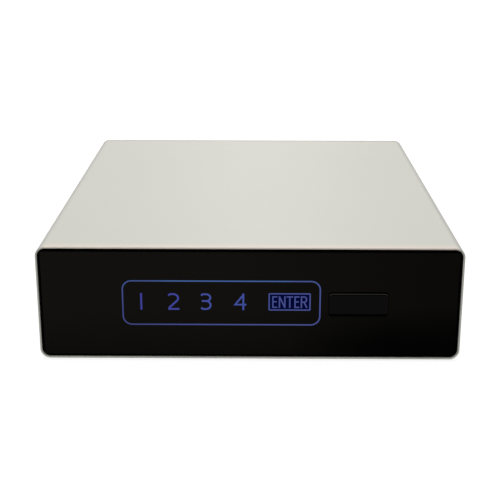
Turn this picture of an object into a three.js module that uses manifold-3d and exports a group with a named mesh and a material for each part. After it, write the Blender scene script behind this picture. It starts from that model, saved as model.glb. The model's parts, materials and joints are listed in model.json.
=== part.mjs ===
// A slim drawer safe: a rolled steel sleeve, a drawer on telescopic rails, a flush black touch
// front, and the lock, its key override, the batteries and the electronics behind that front.
// Millimetres, +Z up, the front towards -Y, the origin on the table under the middle.

import * as THREE from 'three';
import { mergeVertices } from 'three/addons/utils/BufferGeometryUtils.js';
import Module from 'manifold-3d';

const wasm = await Module();
wasm.setup();

// Driving dimensions of the sleeve
const WIDTH = 430;
const DEPTH = 420;
const SLEEVE_HEIGHT = 122;
const SLEEVE_WALL = 2;
const SLEEVE_RADIUS = 10.5;
const RIM_ROUND = 0.9;
const SEAT = 0.3;
const FOOT_HEIGHT = 2;
const FOOT_RADIUS = 10;
const FOOT_INSET = 38;
const REAR_FLANGE = 16;
const BACK_PLATE_THICKNESS = 2;
const BACK_SCREW_INSET = 26;
const ANCHOR_HOLE_RADIUS = 4;
const ANCHOR_SPACING_X = 240;
const ANCHOR_SPACING_Y = 220;
const BUMPER_RADIUS = 6;
const BUMPER_LENGTH = 14.5;
const BUMPER_RISE = 22;

// Driving dimensions of the front
const BADGE_WIDTH = 59.6;
const BADGE_HEIGHT = 24.4;
const BADGE_RADIUS = 3;
const BADGE_THICKNESS = 2.1;
const BADGE_PROUD = 0.6;
const BADGE_BEVEL = 0.5;
const BADGE_GAP = 0.5;
const BADGE_X = 110;
const PANEL_THICKNESS = 3;
const PANEL_GAP = 0.6;
const PANEL_ROUND = 1.2;
const BEZEL_THICKNESS = 8;
const BEZEL_INSET = 9;
const BEZEL_RADIUS = 4;
const BEZEL_SCREW_INSET = 15;
const BEZEL_SCREW_RISE = 26;
const BEZEL_SCREW_DROP = 8.5;
const KEYPAD_X = -28.3;
const KEYPAD_WIDTH = 204;
const KEYPAD_HEIGHT = 50;
const KEYPAD_RADIUS = 4;
const LIGHT_GUIDE_THICKNESS = 2;
const BOARD_THICKNESS = 1.6;
const POCKET_DEPTH = 5;

// Driving dimensions of the drawer and its rails
const TRAY_WALL = 1.5;
const TRAY_HEADROOM = 10.5;
const TRAY_LIFT = 3.5;
const TRAY_REAR_GAP = 0.5;
const LINER_THICKNESS = 3;
const LINER_GAP = 0.8;
const LINER_RADIUS = 6;
const RAIL_ROOM = 13;
const RAIL_HEIGHT = 44;
const RAIL_STRIKE_GAP = 1.1;
const RAIL_SHEET = 1.4;
const RAIL_RUNNING_GAP = 0.4;
const RAIL_FRONT_SETBACK = 32;
const RAIL_REAR_SETBACK = 18;

// Driving dimensions of the lock
const MODULE_DEPTH = 46;
const COVER_WALL = 2;
const COVER_SIDE_GAP = 0.6;
const GEAR_MODULE = 0.8;
const GEAR_TEETH = 16;
const GEAR_WIDTH = 6;
const GEAR_BACKLASH = 0.16;
const ROOT_SHARE = 1.7;
const TIP_SHARE = 0.4;
const LOCK_AXIS_RISE = 24;
const BOLT_RADIUS = 4;
const BOLT_THROW = 11;
const BOLT_ROD_LENGTH = 44;
const BOLT_BACK = 0.7;
const BOLT_END_GAP = 0.7;
const BAR_HEIGHT = 7;
const BAR_END = 5.5;
const BAR_SIDE_GAP = 0.5;
const ROD_OVERLAP = 4;
const CHANNEL_SHEET = 1.5;
const CHANNEL_LEFT = -140;
const CHANNEL_RIGHT = 88;
const CHANNEL_FOOT = 10;
const CHANNEL_SCREW_INSET = 12;
const STRIKE_HEIGHT = 16;
const STRIKE_RIB = 4;
const STRIKE_DEPTH = 9;
const STRIKE_PLATE = 1.5;
const GEARBOX_WIDTH = 22;
const GEARBOX_HEIGHT = 22;
const GEARBOX_LENGTH = 14;
const MOTOR_RADIUS = 9.5;
const MOTOR_END_GAP = 0.6;
const SHAFT_RADIUS = 2;
const SHAFT_LENGTH = 9;
const BARREL_RADIUS = 9;
const BARREL_LENGTH = 24;
const BARREL_FLANGE_RADIUS = 11;
const BARREL_FLANGE_THICKNESS = 2;
const PLUG_RADIUS = 6;
const PLUG_TAIL = 4.5;
const PLUG_TAIL_WIDTH = 6;
const KEYWAY_WIDTH = 1.8;
const KEYWAY_HEIGHT = 8;
const KEYWAY_DEPTH = 15;
const NUT_ACROSS_CORNERS = 25;
const NUT_THICKNESS = 5;
const CAM_LENGTH = 20;
const CAM_THICKNESS = 2.5;
const CAM_RADIUS = 7;

// Driving dimensions of the power and electronics
const CELL_RADIUS = 7.2;
const CELL_LENGTH = 49.5;
const CELL_BUTTON_RADIUS = 2.7;
const CELL_BUTTON_LENGTH = 1;
const CELL_GAP = 0.4;
const HOLDER_X = -115;
const HOLDER_DROP = 13;
const HOLDER_WALL = 2;
const HOLDER_FLANGE = 3;
const DOOR_WIDTH = 110;
const DOOR_HEIGHT = 37;
const DOOR_GAP = 0.5;
const BOARD_WIDTH = 118;
const BOARD_HEIGHT = 38;
const BOARD_X = 15;
const BOARD_DROP = 6.5;
const BOARD_STANDOFF = 8;
const BOARD_BOSS_RADIUS = 3;
const BOARD_BOSS_INSET = 5;
const BOSS_SINK = 0.5;
const SWITCH_SIZE = 6;
const SWITCH_THICKNESS = 3.5;
const SWITCH_X = 58;
const BUTTON_RADIUS = 3;
const BUTTON_FLANGE_RADIUS = 4.5;
const BUTTON_FLANGE_THICKNESS = 1;
const BUTTON_PROUD = 1;
const BUTTON_TRAVEL = 1.5;
const LEAD_RADIUS = 1.2;
const RIBBON_WIDTH = 16;
const RIBBON_THICKNESS = 0.5;
const RIBBON_X = 30;
const RIBBON_SLOT_GAP = 0.8;

// Driving dimensions of the fasteners
const SCREW_RADIUS = 2;
const SCREW_HEAD_RADIUS = 3.8;
const SCREW_HEAD_HEIGHT = 1.6;
const SCREW_LENGTH = 6;
const SCREW_GAP = 0.3;
const PILOT_DEPTH = 3;
const POST_RADIUS = 4;
const POST_INSET = 14;

// Outline steps of a quarter arc, and sides of a round
const CORNER_STEPS = 4;
const ROUND_SIDES = 24;
const SMALL_SIDES = 16;

// Places worked out from the dimensions above
const front = -DEPTH / 2;
const back = DEPTH / 2;
const sleeveBottom = FOOT_HEIGHT + SEAT;
const sleeveTop = sleeveBottom + SLEEVE_HEIGHT;
const midZ = (sleeveBottom + sleeveTop) / 2;
const sleeveFront = front + BADGE_PROUD;
const backPlateRear = back - SCREW_HEAD_HEIGHT - SEAT;
const backPlateFront = backPlateRear - BACK_PLATE_THICKNESS;
const sleeveRear = backPlateFront - SEAT;
const mouthWidth = WIDTH - 2 * SLEEVE_WALL;
const mouthHeight = SLEEVE_HEIGHT - 2 * SLEEVE_WALL;
const mouthRadius = SLEEVE_RADIUS - SLEEVE_WALL;
const innerX = mouthWidth / 2;
const floorTop = sleeveBottom + SLEEVE_WALL;

const panelRear = sleeveFront + PANEL_THICKNESS;
const bezelFront = panelRear + SEAT;
const bezelRear = bezelFront + BEZEL_THICKNESS;
const trayFront = bezelRear + SEAT;
const trayWallRear = trayFront + TRAY_WALL;
const trayRear = backPlateFront - SEAT - BUMPER_LENGTH - TRAY_REAR_GAP;
const trayHalf = innerX - RAIL_ROOM;
const trayBottom = floorTop + TRAY_LIFT;
const trayFloorTop = trayBottom + TRAY_WALL;
const trayTop = sleeveTop - SLEEVE_WALL - TRAY_HEADROOM;
const coverRear = trayWallRear + MODULE_DEPTH;
const coverInner = coverRear - COVER_WALL;

const railFront = front + RAIL_FRONT_SETBACK;
const railRear = back - RAIL_REAR_SETBACK;

const gearRadius = GEAR_MODULE * GEAR_TEETH / 2;
const gearAddendum = GEAR_MODULE;
const gearDedendum = 1.25 * GEAR_MODULE;
const gearPitch = Math.PI * GEAR_MODULE;
const lockZ = trayFloorTop + LOCK_AXIS_RISE;
const boltY = trayWallRear + BOLT_BACK + BOLT_RADIUS;
const barNear = gearRadius - gearAddendum;
const barRoot = gearRadius + gearDedendum;
const barFar = barRoot + BAR_HEIGHT;
const boltRise = (barRoot + barFar) / 2;
const boltZ = { left: lockZ + boltRise, right: lockZ - boltRise };
const channelInner = barFar + RAIL_RUNNING_GAP;
const webFront = boltY + BOLT_RADIUS + BAR_SIDE_GAP;
const webRear = webFront + CHANNEL_SHEET;
const channelFootFront = trayWallRear + SEAT;
const gearboxFront = webRear + SEAT;
const gearboxRear = gearboxFront + GEARBOX_LENGTH;
const boltTip = innerX - SEAT - STRIKE_PLATE - BOLT_END_GAP - BOLT_THROW;
const rackTeeth = 2 * Math.ceil(BOLT_THROW / gearPitch) + 3;
const barOverrun = rackTeeth * gearPitch / 2 + BAR_END;

const group = new THREE.Group();

const finishes = {
  sleevePaint: { color: 0xd9d8d0, roughness: 0.5, metalness: 0.0 },
  glossBlack: { color: 0x0b0a08, roughness: 0.08, metalness: 0.0 },
  badgeBlack: { color: 0x12120f, roughness: 0.3, metalness: 0.0 },
  blackPlastic: { color: 0x1a1a1a, roughness: 0.6, metalness: 0.0 },
  drawerPaint: { color: 0x26272a, roughness: 0.55, metalness: 0.0 },
  zincSteel: { color: 0xb9bcc0, roughness: 0.35, metalness: 1.0 },
  brass: { color: 0xc2a35a, roughness: 0.3, metalness: 1.0 },
  rubber: { color: 0x151515, roughness: 0.9, metalness: 0.0 },
  felt: { color: 0x2b2d31, roughness: 0.95, metalness: 0.0 },
  lightGuide: { color: 0x2a3cc8, roughness: 0.2, metalness: 0.0 },
  board: { color: 0x14502c, roughness: 0.5, metalness: 0.0 },
  cell: { color: 0x2f5f8f, roughness: 0.4, metalness: 0.2 },
  wire: { color: 0x8f1e1e, roughness: 0.6, metalness: 0.0 },
};

function add(name, geometry, finish) {
  const mesh = new THREE.Mesh(geometry, new THREE.MeshStandardMaterial(finishes[finish]));
  mesh.name = name;
  group.add(mesh);
}

// Shapes

function roundedRect(width, height, radius, cx = 0, cy = 0) {
  const x = width / 2 - radius;
  const y = height / 2 - radius;
  const shape = new THREE.Shape();
  shape.absarc(cx + x, cy + y, radius, 0, Math.PI / 2);
  shape.absarc(cx - x, cy + y, radius, Math.PI / 2, Math.PI);
  shape.absarc(cx - x, cy - y, radius, Math.PI, 1.5 * Math.PI);
  shape.absarc(cx + x, cy - y, radius, 1.5 * Math.PI, 2 * Math.PI);
  return shape;
}

function polygon(points) {
  return new THREE.Shape(points.map(([a, b]) => new THREE.Vector2(a, b)));
}

function extrude(shape, length, round = 0) {
  const geometry = new THREE.ExtrudeGeometry(shape, {
    depth: length - 2 * round,
    curveSegments: CORNER_STEPS,
    bevelEnabled: round > 0,
    bevelThickness: round,
    bevelSize: round,
    bevelOffset: -round,
    bevelSegments: 3,
  });
  return geometry.translate(0, 0, round);
}

// A shape drawn in X and Z, run from y0 to y1
function alongY(shape, y0, y1, round = 0) {
  return extrude(shape, y1 - y0, round).rotateX(Math.PI / 2).translate(0, y1, 0);
}

// A shape drawn in Y and Z, run from x0 to x1
function alongX(shape, x0, x1) {
  const turn = new THREE.Matrix4().makeBasis(
    new THREE.Vector3(0, 1, 0), new THREE.Vector3(0, 0, 1), new THREE.Vector3(1, 0, 0));
  return extrude(shape, x1 - x0).applyMatrix4(turn).translate(x0, 0, 0);
}

// A shape drawn in X and Y, run from z0 to z1
function alongZ(shape, z0, z1) {
  return extrude(shape, z1 - z0).translate(0, 0, z0);
}

function block(x0, x1, y0, y1, z0, z1) {
  const geometry = new THREE.BoxGeometry(x1 - x0, y1 - y0, z1 - z0);
  return geometry.translate((x0 + x1) / 2, (y0 + y1) / 2, (z0 + z1) / 2);
}

function roundAlongY(radius, x, z, y0, y1, sides = ROUND_SIDES) {
  return new THREE.CylinderGeometry(radius, radius, y1 - y0, sides).translate(x, (y0 + y1) / 2, z);
}

function roundAlongX(radius, y, z, x0, x1, sides = ROUND_SIDES) {
  const geometry = new THREE.CylinderGeometry(radius, radius, x1 - x0, sides);
  return geometry.rotateZ(Math.PI / 2).translate((x0 + x1) / 2, y, z);
}

function roundAlongZ(radius, x, y, z0, z1, sides = ROUND_SIDES) {
  const geometry = new THREE.CylinderGeometry(radius, radius, z1 - z0, sides);
  return geometry.rotateX(Math.PI / 2).translate(x, y, (z0 + z1) / 2);
}

function solid(geometry) {
  const bare = geometry.clone();
  bare.deleteAttribute('normal');
  bare.deleteAttribute('uv');
  const merged = mergeVertices(bare, 1e-4);
  return new wasm.Manifold(new wasm.Mesh({
    numProp: 3,
    vertProperties: new Float32Array(merged.attributes.position.array),
    triVerts: new Uint32Array(merged.index.array),
  }));
}

function build(bodies, cuts = []) {
  let whole = solid(bodies[0]);
  for (const body of bodies.slice(1)) whole = whole.add(solid(body));
  for (const cut of cuts) whole = whole.subtract(solid(cut));
  const mesh = whole.getMesh();
  const geometry = new THREE.BufferGeometry();
  geometry.setAttribute('position', new THREE.BufferAttribute(mesh.vertProperties, 3));
  geometry.setIndex(new THREE.BufferAttribute(mesh.triVerts, 1));
  geometry.computeVertexNormals();
  return geometry;
}

function mirrored(side, points) {
  return points.map(([a, b]) => [side * a, b]);
}

const sides = [['left', -1], ['right', 1]];

// A pan-head screw driven along Y. Its head's underside is at y, and it points along direction.
function screwAlongY(x, z, y, direction, length) {
  const headFar = y - direction * SCREW_HEAD_HEIGHT;
  const tip = y + direction * length;
  const head = roundAlongY(SCREW_HEAD_RADIUS, x, z, Math.min(y, headFar), Math.max(y, headFar),
    SMALL_SIDES);
  const shank = roundAlongY(SCREW_RADIUS, x, z, Math.min(headFar, tip), Math.max(headFar, tip),
    SMALL_SIDES);
  return build([head, shank]);
}

function screwHole(x, z, y0, y1) {
  return roundAlongY(SCREW_RADIUS + SCREW_GAP, x, z, y0, y1, SMALL_SIDES);
}

// Sleeve: a rolled rectangular tube with a return flange at the rear
const backScrewX = innerX - REAR_FLANGE / 2;
const backScrewZ = mouthHeight / 2 - BACK_SCREW_INSET;
const backScrews = [[-1, -1], [1, -1], [-1, 1], [1, 1]].map(
  ([a, b]) => [a * backScrewX, midZ + b * backScrewZ]);
const backScrewHoles = backScrews.map(
  ([x, z]) => screwHole(x, z, sleeveRear - 2 * SLEEVE_WALL, back));
const anchors = [[-1, -1], [1, -1], [-1, 1], [1, 1]].map(
  ([a, b]) => [a * ANCHOR_SPACING_X / 2, b * ANCHOR_SPACING_Y / 2]);

function makeSleeve() {
  const skin = alongY(roundedRect(WIDTH, SLEEVE_HEIGHT, SLEEVE_RADIUS, 0, midZ),
    sleeveFront, sleeveRear, RIM_ROUND);
  const mouth = alongY(roundedRect(mouthWidth, mouthHeight, mouthRadius, 0, midZ),
    sleeveFront - 1, sleeveRear - SLEEVE_WALL);
  const rearOpening = block(-innerX + REAR_FLANGE, innerX - REAR_FLANGE, sleeveRear - 2 * SLEEVE_WALL,
    back, midZ - mouthHeight / 2 + REAR_FLANGE, midZ + mouthHeight / 2 - REAR_FLANGE);
  const anchorHoles = anchors.map(([x, y]) => roundAlongZ(ANCHOR_HOLE_RADIUS, x, y,
    sleeveBottom - 1, floorTop + 1));
  add('outer_casing', build([skin], [mouth, rearOpening, ...backScrewHoles, ...anchorHoles]),
    'sleevePaint');
}

function makeBackPlate() {
  const plate = alongY(roundedRect(WIDTH, SLEEVE_HEIGHT, SLEEVE_RADIUS, 0, midZ),
    backPlateFront, backPlateRear);
  add('back_plate', build([plate], backScrewHoles), 'sleevePaint');
  backScrews.forEach(([x, z], i) => {
    add(`back_plate_screw_${i + 1}`, screwAlongY(x, z, backPlateRear + SEAT, -1, SCREW_LENGTH),
      'zincSteel');
  });
}

function makeFeet() {
  const x = WIDTH / 2 - FOOT_INSET;
  const y = DEPTH / 2 - FOOT_INSET;
  [[-x, -y], [x, -y], [-x, y], [x, y]].forEach(([fx, fy], i) => {
    add(`foot_${i + 1}`, roundAlongZ(FOOT_RADIUS, fx, fy, 0, FOOT_HEIGHT), 'rubber');
  });
}

function makeBumper() {
  add('rear_bumper', roundAlongY(BUMPER_RADIUS, 0, trayBottom + BUMPER_RISE,
    trayRear + TRAY_REAR_GAP, backPlateFront - SEAT), 'rubber');
}

// Telescopic rails: three nested channels on each side
const railHalf = RAIL_HEIGHT / 2;
const railZ = boltZ.left + STRIKE_HEIGHT / 2 + RAIL_STRIKE_GAP + railHalf;

// A channel whose web lies from near to far, with flanges that reach to tip. All three are
// distances from the sleeve's inner wall.
function railChannel(side, near, far, tip, half) {
  const away = (distance) => innerX - distance;
  const inner = half - RAIL_SHEET;
  const webTip = tip > far ? [near, far] : [far, near];
  return polygon(mirrored(side, [
    [away(webTip[0]), -half], [away(tip), -half], [away(tip), -inner], [away(webTip[1]), -inner],
    [away(webTip[1]), inner], [away(tip), inner], [away(tip), half], [away(webTip[0]), half],
  ].map(([x, z]) => [x, z + railZ])));
}

const middleHalf = railHalf - RAIL_SHEET - RAIL_RUNNING_GAP;
const innerHalf = middleHalf - RAIL_SHEET - RAIL_RUNNING_GAP;
const outerWebFar = SEAT + RAIL_SHEET;
const middleWebNear = outerWebFar + RAIL_RUNNING_GAP;
const middleWebFar = middleWebNear + RAIL_SHEET;
const innerWebFar = RAIL_ROOM - SEAT;
const innerWebNear = innerWebFar - RAIL_SHEET;

function makeRails() {
  for (const [name, side] of sides) {
    add(`outer_rail_${name}`, alongY(railChannel(side, SEAT, outerWebFar,
      innerWebNear - 2 * RAIL_RUNNING_GAP, railHalf), railFront, railRear), 'zincSteel');
    add(`middle_rail_${name}`, alongY(railChannel(side, middleWebNear, middleWebFar,
      innerWebNear - RAIL_RUNNING_GAP, middleHalf), railFront, railRear), 'zincSteel');
    add(`inner_rail_${name}`, alongY(railChannel(side, innerWebNear, innerWebFar,
      middleWebFar + RAIL_RUNNING_GAP, innerHalf), railFront, railRear), 'zincSteel');
  }
}

// Front: panel, badge, bezel, light guide and keypad board
const frontOutline = (inset, radius) => roundedRect(mouthWidth - 2 * inset,
  mouthHeight - 2 * inset, radius, 0, midZ);
const keypadOutline = (grow) => roundedRect(KEYPAD_WIDTH + 2 * grow, KEYPAD_HEIGHT + 2 * grow,
  KEYPAD_RADIUS, KEYPAD_X, midZ);
const badgeRear = front + BADGE_THICKNESS;
const guideFront = bezelFront + SEAT;
const guideRear = guideFront + LIGHT_GUIDE_THICKNESS;
const keypadBoardFront = guideRear + SEAT;
const keypadBoardRear = keypadBoardFront + BOARD_THICKNESS;
const barrelFlangeFront = bezelFront + SEAT;
const barrelFlangeRear = barrelFlangeFront + BARREL_FLANGE_THICKNESS;
const barrelRear = barrelFlangeRear + BARREL_LENGTH;
const boardZ = trayTop - COVER_WALL - BOARD_DROP - BOARD_HEIGHT / 2;

const bezelScrewX = trayHalf - BEZEL_SCREW_INSET;
const bezelScrewLow = lockZ + BEZEL_SCREW_RISE;
const bezelScrewHigh = trayTop - BEZEL_SCREW_DROP;
const bezelScrews = [[-bezelScrewX, bezelScrewLow], [bezelScrewX, bezelScrewLow],
  [-bezelScrewX, bezelScrewHigh], [bezelScrewX, bezelScrewHigh]];
const channelScrewZ = lockZ + channelInner + CHANNEL_SHEET + CHANNEL_FOOT / 2;
const channelScrews = [[CHANNEL_LEFT + CHANNEL_SCREW_INSET, channelScrewZ],
  [CHANNEL_RIGHT - CHANNEL_SCREW_INSET, channelScrewZ]];

function ribbonSlot(y0, y1) {
  const halfWidth = RIBBON_WIDTH / 2 + RIBBON_SLOT_GAP;
  const halfHeight = RIBBON_THICKNESS / 2 + RIBBON_SLOT_GAP;
  return block(RIBBON_X - halfWidth, RIBBON_X + halfWidth, y0, y1,
    boardZ - halfHeight, boardZ + halfHeight);
}

function makeFront() {
  const panel = alongY(frontOutline(PANEL_GAP, mouthRadius - PANEL_GAP), sleeveFront,
    panelRear, PANEL_ROUND);
  const badgeRecess = alongY(roundedRect(BADGE_WIDTH + 2 * BADGE_GAP, BADGE_HEIGHT + 2 * BADGE_GAP,
    BADGE_RADIUS + BADGE_GAP, BADGE_X, midZ), front - 1, badgeRear + SEAT);
  const keyWindow = roundAlongY(PLUG_RADIUS + 1, BADGE_X, midZ, front, panelRear + 1);
  add('front_panel', build([panel], [badgeRecess, keyWindow]), 'glossBlack');

  add('badge_cover', alongY(roundedRect(BADGE_WIDTH, BADGE_HEIGHT, BADGE_RADIUS, BADGE_X, midZ),
    front, badgeRear, BADGE_BEVEL), 'badgeBlack');

  const bezel = alongY(frontOutline(PANEL_GAP + BEZEL_INSET, BEZEL_RADIUS), bezelFront, bezelRear);
  const pocket = alongY(keypadOutline(SEAT), bezelFront - 1, bezelFront + POCKET_DEPTH);
  const barrelBore = roundAlongY(BARREL_RADIUS + SCREW_GAP, BADGE_X, midZ, bezelFront - 1,
    bezelRear + 1);
  const barrelSeat = roundAlongY(BARREL_FLANGE_RADIUS + SCREW_GAP, BADGE_X, midZ, bezelFront - 1,
    barrelFlangeRear + SEAT);
  const pilots = [...bezelScrews, ...channelScrews].map(
    ([x, z]) => screwHole(x, z, bezelRear - PILOT_DEPTH, bezelRear + 1));
  add('front_bezel', build([bezel], [pocket, barrelBore, barrelSeat, ...pilots,
    ribbonSlot(bezelFront, bezelRear + 1)]), 'blackPlastic');

  add('light_guide', alongY(keypadOutline(0), guideFront, guideRear), 'lightGuide');
  add('keypad_board', alongY(keypadOutline(0), keypadBoardFront, keypadBoardRear), 'board');
  bezelScrews.forEach(([x, z], i) => {
    add(`bezel_screw_${i + 1}`, screwAlongY(x, z, trayWallRear + SEAT, -1,
      TRAY_WALL + SEAT + PILOT_DEPTH), 'zincSteel');
  });
}

// Drawer: a folded tray closed by a rear wall between its sides, with a soft liner
function makeTray() {
  const outside = block(-trayHalf, trayHalf, trayFront, trayRear, trayBottom, trayTop);
  const inside = block(-trayHalf + TRAY_WALL, trayHalf - TRAY_WALL, trayWallRear,
    trayRear + 1, trayFloorTop, trayTop + 1);
  const boltHoles = sides.map(([name, side]) => {
    const reach = [side * (trayHalf - 2 * TRAY_WALL), side * (trayHalf + 1)];
    return roundAlongX(BOLT_RADIUS + BOLT_BACK / 2, boltY, boltZ[name], Math.min(...reach),
      Math.max(...reach));
  });
  const barrelHole = roundAlongY(BARREL_RADIUS + SCREW_GAP, BADGE_X, midZ, trayFront - 1,
    trayWallRear + 1);
  const screwHoles = [...bezelScrews, ...channelScrews].map(
    ([x, z]) => screwHole(x, z, trayFront - 1, trayWallRear + 1));
  add('drawer_tray', build([outside], [inside, ...boltHoles, barrelHole, ...screwHoles,
    ribbonSlot(trayFront - 1, trayWallRear + 1)]), 'drawerPaint');
  const rearHalf = trayHalf - TRAY_WALL - SEAT;
  add('tray_rear_wall', block(-rearHalf, rearHalf, trayRear - TRAY_WALL, trayRear,
    trayFloorTop + SEAT, trayTop), 'drawerPaint');
}

function makeLiner() {
  const linerWidth = 2 * (trayHalf - TRAY_WALL - LINER_GAP);
  const y0 = coverRear + LINER_GAP;
  const y1 = trayRear - TRAY_WALL - LINER_GAP;
  add('drawer_liner', alongZ(roundedRect(linerWidth, y1 - y0, LINER_RADIUS, 0, (y0 + y1) / 2),
    trayFloorTop + SEAT, trayFloorTop + SEAT + LINER_THICKNESS), 'felt');
}

// Lock: two round bolts on toothed bars, thrown apart by one pinion

function rackBar(name, side) {
  const up = side < 0 ? 1 : -1;
  const flat = (distance) => lockZ + up * distance;
  const rootHalf = gearPitch / 4 + gearDedendum * Math.tan(Math.PI / 9) - GEAR_BACKLASH;
  const tipHalf = gearPitch / 4 - gearAddendum * Math.tan(Math.PI / 9) - GEAR_BACKLASH;
  const points = [[-barOverrun * side, flat(barRoot)]];
  for (let i = 0; i < rackTeeth + 1; i += 1) {
    const x = side * (i - rackTeeth / 2) * gearPitch;
    points.push([x - side * rootHalf, flat(barRoot)], [x - side * tipHalf, flat(barNear)],
      [x + side * tipHalf, flat(barNear)], [x + side * rootHalf, flat(barRoot)]);
  }
  const barEnd = side * (boltTip - BOLT_ROD_LENGTH);
  points.push([barEnd, flat(barRoot)], [barEnd, flat(barFar)], [-barOverrun * side, flat(barFar)]);
  const bar = alongY(polygon(points), boltY - BOLT_RADIUS, boltY + BOLT_RADIUS);
  const rodStart = barEnd - ROD_OVERLAP * side;
  const rod = roundAlongX(BOLT_RADIUS, boltY, boltZ[name],
    Math.min(rodStart, side * boltTip), Math.max(rodStart, side * boltTip));
  const rodRoot = block(Math.min(barEnd, rodStart), Math.max(barEnd, rodStart),
    boltY - BOLT_RADIUS, boltY + BOLT_RADIUS, boltZ[name] - BAR_HEIGHT / 2,
    boltZ[name] + BAR_HEIGHT / 2);
  return build([bar, rodRoot, rod]);
}

function pinionOutline() {
  const points = [];
  const step = 2 * Math.PI / GEAR_TEETH;
  const root = gearRadius - gearDedendum;
  const tip = gearRadius + gearAddendum;
  const pitchHalf = (gearPitch / 4 - GEAR_BACKLASH) / gearRadius;
  for (let i = 0; i < GEAR_TEETH; i += 1) {
    const angle = Math.PI / 2 + i * step;
    const flank = [[root, -ROOT_SHARE], [gearRadius, -1], [tip, -TIP_SHARE], [tip, TIP_SHARE],
      [gearRadius, 1], [root, ROOT_SHARE]];
    for (const [radius, share] of flank) {
      const a = angle + share * pitchHalf;
      points.push([radius * Math.cos(a), lockZ + radius * Math.sin(a)]);
    }
  }
  return polygon(points);
}

function makeLock() {
  for (const [name, side] of sides) add(`lock_bolt_${name}`, rackBar(name, side), 'zincSteel');

  const gear = alongY(pinionOutline(), boltY - GEAR_WIDTH / 2, boltY + GEAR_WIDTH / 2);
  const shaft = roundAlongY(SHAFT_RADIUS, 0, lockZ, boltY, gearboxFront + SHAFT_LENGTH, SMALL_SIDES);
  add('bolt_pinion', build([gear, shaft]), 'brass');

  const top = channelInner + CHANNEL_SHEET;
  const profile = polygon([
    [channelFootFront, -channelInner], [channelFootFront, -top], [webRear, -top],
    [webRear, top], [channelFootFront + CHANNEL_SHEET, top],
    [channelFootFront + CHANNEL_SHEET, top + CHANNEL_FOOT], [channelFootFront, top + CHANNEL_FOOT],
    [channelFootFront, channelInner], [webFront, channelInner], [webFront, -channelInner],
  ].map(([y, z]) => [y, z + lockZ]));
  const channel = alongX(profile, CHANNEL_LEFT, CHANNEL_RIGHT);
  const shaftHole = roundAlongY(SHAFT_RADIUS + SCREW_GAP, 0, lockZ, webFront - 1, webRear + 1,
    SMALL_SIDES);
  const footHoles = channelScrews.map(
    ([x, z]) => screwHole(x, z, channelFootFront - 1, channelFootFront + CHANNEL_SHEET + 1));
  add('lock_channel', build([channel], [shaftHole, ...footHoles]), 'zincSteel');
  channelScrews.forEach(([x, z], i) => {
    add(`lock_channel_screw_${i + 1}`, screwAlongY(x, z, channelFootFront + CHANNEL_SHEET + SEAT, -1,
      CHANNEL_SHEET + TRAY_WALL + 2 * SEAT + PILOT_DEPTH), 'zincSteel');
  });

  const gearbox = block(-GEARBOX_WIDTH / 2, GEARBOX_WIDTH / 2, gearboxFront, gearboxRear,
    lockZ - GEARBOX_HEIGHT / 2, lockZ + GEARBOX_HEIGHT / 2);
  const shaftBore = roundAlongY(SHAFT_RADIUS + SCREW_GAP, 0, lockZ, gearboxFront - 1,
    gearboxFront + SHAFT_LENGTH + SEAT, SMALL_SIDES);
  add('lock_gearbox', build([gearbox], [shaftBore]), 'blackPlastic');
  add('lock_motor', roundAlongY(MOTOR_RADIUS, 0, lockZ, gearboxRear + SEAT,
    coverInner - MOTOR_END_GAP), 'zincSteel');
}

function makeStrikes() {
  for (const [name, side] of sides) {
    const wallX = innerX - SEAT;
    const slot = BOLT_RADIUS + BOLT_BACK;
    const half = slot + STRIKE_RIB;
    const u = polygon([
      [wallX, -half], [wallX, half], [wallX - STRIKE_DEPTH, half], [wallX - STRIKE_DEPTH, slot],
      [wallX - STRIKE_PLATE, slot], [wallX - STRIKE_PLATE, -slot], [wallX - STRIKE_DEPTH, -slot],
      [wallX - STRIKE_DEPTH, -half],
    ].map(([x, y]) => [side * x, y + boltY]));
    add(`strike_${name}`, alongZ(u, boltZ[name] - STRIKE_HEIGHT / 2, boltZ[name]
      + STRIKE_HEIGHT / 2), 'zincSteel');
  }
}

// Key override: barrel, nut, plug and cam, behind the badge
const plugFront = barrelFlangeFront + SEAT;
const plugRear = barrelRear + 2;
const camFront = plugRear + SEAT;

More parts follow.
